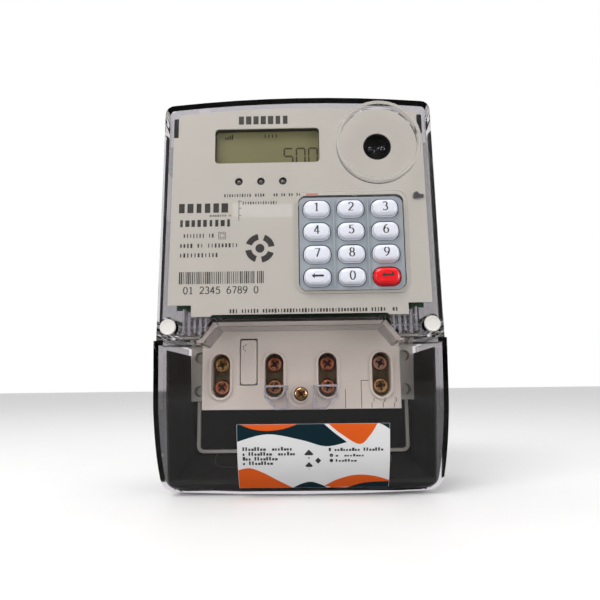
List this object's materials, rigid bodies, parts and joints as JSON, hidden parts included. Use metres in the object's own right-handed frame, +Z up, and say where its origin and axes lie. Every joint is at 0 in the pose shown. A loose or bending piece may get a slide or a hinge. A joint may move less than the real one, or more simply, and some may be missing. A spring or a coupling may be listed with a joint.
{
  "type": "prepaid electricity meter",
  "caption": "Wall-mounted single-phase prepayment energy meter with a keypad, display, optical port, clear main cover and a removable clear terminal cover.",
  "frame": {"origin": "on the flat back of the base, on its centre line, 53 mm above the foot of the fixing lugs", "axes": "+Z up the meter, -Y out of the wall towards the reader, +X to the reader's right"},
  "size_m": [0.135, 0.0736, 0.1934],
  "materials": {
    "case_plastic": "fine moulded texture, warm light grey",
    "block_plastic": "moulded, warm beige grey",
    "clear_cover": "clear polycarbonate, polished",
    "black_plastic": "satin black",
    "black_rubber": "matt",
    "seal_white": "off-white",
    "yellow_steel": "yellow passivated screw steel",
    "zinc_steel": "bright zinc",
    "brass": "plain brass",
    "sticker": "printed film, satin",
    "component_black": "moulded black",
    "printed_plate": "printed sheet, satin",
    "display_glass": "olive reflective display behind glass",
    "lamp_lens": "unlit smoked lens",
    "infrared_lens": "near-black lens",
    "grey_silicone": "blue-grey silicone",
    "white_key": "cool white, satin",
    "red_key": "red, satin",
    "circuit_board": "green solder mask",
    "transformer": "taped winding"
  },
  "bodies": {
    "case": {"base_case": "case_plastic", "wiring_frame": "case_plastic", "cable_tray": "black_plastic", "upper_cover": "clear_cover", "cover_gasket": "black_rubber", "cover_screw_left": "zinc_steel", "cover_screw_right": "zinc_steel", "seal_plug_left": "seal_white", "seal_plug_right": "seal_white", "terminal_block": "block_plastic", "tamper_switch": "component_black", "nameplate": "printed_plate", "lcd_module": "display_glass", "lcd_holder": "black_plastic", "led_credit": "lamp_lens", "led_alarm": "lamp_lens", "led_pulse": "lamp_lens", "diode_holder": "black_plastic", "ir_emitter": "infrared_lens", "ir_receiver": "infrared_lens", "keypad_mat": "grey_silicone", "keypad_board": "circuit_board", "main_board": "circuit_board", "display_board": "circuit_board", "latching_relay": "component_black", "current_shunt": "brass", "supply_transformer": "transformer", "power_capacitor": "component_black", "backup_battery": "zinc_steel", "buzzer": "component_black", "board_connector": "component_black", "terminal_cage_1": "brass", "terminal_cage_2": "brass", "terminal_cage_3": "brass", "terminal_cage_4": "brass"},
    "cover": {"terminal_cover": "clear_cover", "cover_label": "sticker"},
    "cover_screw": {"terminal_cover_screw": "yellow_steel"},
    "lever": {"tamper_lever": "block_plastic"},
    "hanger_slide": {"hanger": "zinc_steel"},
    "key_1_cap": {"key_1": "white_key"},
    "key_2_cap": {"key_2": "white_key"},
    "key_3_cap": {"key_3": "white_key"},
    "key_4_cap": {"key_4": "white_key"},
    "key_5_cap": {"key_5": "white_key"},
    "key_6_cap": {"key_6": "white_key"},
    "key_7_cap": {"key_7": "white_key"},
    "key_8_cap": {"key_8": "white_key"},
    "key_9_cap": {"key_9": "white_key"},
    "key_back_cap": {"key_back": "white_key"},
    "key_0_cap": {"key_0": "white_key"},
    "key_enter_cap": {"key_enter": "red_key"},
    "clamp_screw_1_upper_turn": {"clamp_screw_1_upper": "yellow_steel"},
    "clamp_screw_1_lower_turn": {"clamp_screw_1_lower": "yellow_steel"},
    "clamp_screw_2_upper_turn": {"clamp_screw_2_upper": "yellow_steel"},
    "clamp_screw_2_lower_turn": {"clamp_screw_2_lower": "yellow_steel"},
    "clamp_screw_3_upper_turn": {"clamp_screw_3_upper": "yellow_steel"},
    "clamp_screw_3_lower_turn": {"clamp_screw_3_lower": "yellow_steel"},
    "clamp_screw_4_upper_turn": {"clamp_screw_4_upper": "yellow_steel"},
    "clamp_screw_4_lower_turn": {"clamp_screw_4_lower": "yellow_steel"}
  },
  "joints": [
    {"name": "key_1_press", "type": "slide", "parent": "case", "child": "key_1_cap", "axis": [0, 1, 0], "range_m": [0, 0.0012], "stiffness_N_per_m": 900},
    {"name": "key_2_press", "type": "slide", "parent": "case", "child": "key_2_cap", "axis": [0, 1, 0], "range_m": [0, 0.0012], "stiffness_N_per_m": 900},
    {"name": "key_3_press", "type": "slide", "parent": "case", "child": "key_3_cap", "axis": [0, 1, 0], "range_m": [0, 0.0012], "stiffness_N_per_m": 900},
    {"name": "key_4_press", "type": "slide", "parent": "case", "child": "key_4_cap", "axis": [0, 1, 0], "range_m": [0, 0.0012], "stiffness_N_per_m": 900},
    {"name": "key_5_press", "type": "slide", "parent": "case", "child": "key_5_cap", "axis": [0, 1, 0], "range_m": [0, 0.0012], "stiffness_N_per_m": 900},
    {"name": "key_6_press", "type": "slide", "parent": "case", "child": "key_6_cap", "axis": [0, 1, 0], "range_m": [0, 0.0012], "stiffness_N_per_m": 900},
    {"name": "key_7_press", "type": "slide", "parent": "case", "child": "key_7_cap", "axis": [0, 1, 0], "range_m": [0, 0.0012], "stiffness_N_per_m": 900},
    {"name": "key_8_press", "type": "slide", "parent": "case", "child": "key_8_cap", "axis": [0, 1, 0], "range_m": [0, 0.0012], "stiffness_N_per_m": 900},
    {"name": "key_9_press", "type": "slide", "parent": "case", "child": "key_9_cap", "axis": [0, 1, 0], "range_m": [0, 0.0012], "stiffness_N_per_m": 900},
    {"name": "key_back_press", "type": "slide", "parent": "case", "child": "key_back_cap", "axis": [0, 1, 0], "range_m": [0, 0.0012], "stiffness_N_per_m": 900},
    {"name": "key_0_press", "type": "slide", "parent": "case", "child": "key_0_cap", "axis": [0, 1, 0], "range_m": [0, 0.0012], "stiffness_N_per_m": 900},
    {"name": "key_enter_press", "type": "slide", "parent": "case", "child": "key_enter_cap", "axis": [0, 1, 0], "range_m": [0, 0.0012], "stiffness_N_per_m": 900},
    {"name": "terminal_cover_off", "type": "slide", "parent": "case", "child": "cover", "axis": [0, -0.9898, -0.1424], "range_m": [0, 0.08]},
    {"name": "cover_screw_out", "type": "slide", "parent": "cover", "child": "cover_screw", "axis": [0, -1, 0], "range_m": [0, 0.008]},
    {"name": "tamper_lever_press", "type": "hinge", "parent": "case", "child": "lever", "pos_m": [-0.0264, -0.0457, -0.0432], "axis": [-1, 0, 0], "range_deg": [0, 3], "stiffness_Nm_per_rad": 0.12},
    {"name": "hanger_extend", "type": "slide", "parent": "case", "child": "hanger_slide", "axis": [0, 0, 1], "range_m": [0, 0.015]},
    {"name": "clamp_screw_1_upper_spin", "type": "hinge", "parent": "case", "child": "clamp_screw_1_upper_turn", "pos_m": [-0.0405, -0.0424, -0.034], "axis": [0, 1, 0], "continuous": true},
    {"name": "clamp_screw_1_lower_spin", "type": "hinge", "parent": "case", "child": "clamp_screw_1_lower_turn", "pos_m": [-0.0405, -0.0424, -0.0455], "axis": [0, 1, 0], "continuous": true},
    {"name": "clamp_screw_2_upper_spin", "type": "hinge", "parent": "case", "child": "clamp_screw_2_upper_turn", "pos_m": [-0.0135, -0.0424, -0.034], "axis": [0, 1, 0], "continuous": true},
    {"name": "clamp_screw_2_lower_spin", "type": "hinge", "parent": "case", "child": "clamp_screw_2_lower_turn", "pos_m": [-0.0135, -0.0424, -0.0455], "axis": [0, 1, 0], "continuous": true},
    {"name": "clamp_screw_3_upper_spin", "type": "hinge", "parent": "case", "child": "clamp_screw_3_upper_turn", "pos_m": [0.0135, -0.0424, -0.034], "axis": [0, 1, 0], "continuous": true},
    {"name": "clamp_screw_3_lower_spin", "type": "hinge", "parent": "case", "child": "clamp_screw_3_lower_turn", "pos_m": [0.0135, -0.0424, -0.0455], "axis": [0, 1, 0], "continuous": true},
    {"name": "clamp_screw_4_upper_spin", "type": "hinge", "parent": "case", "child": "clamp_screw_4_upper_turn", "pos_m": [0.0405, -0.0424, -0.034], "axis": [0, 1, 0], "continuous": true},
    {"name": "clamp_screw_4_lower_spin", "type": "hinge", "parent": "case", "child": "clamp_screw_4_lower_turn", "pos_m": [0.0405, -0.0424, -0.0455], "axis": [0, 1, 0], "continuous": true}
  ]
}
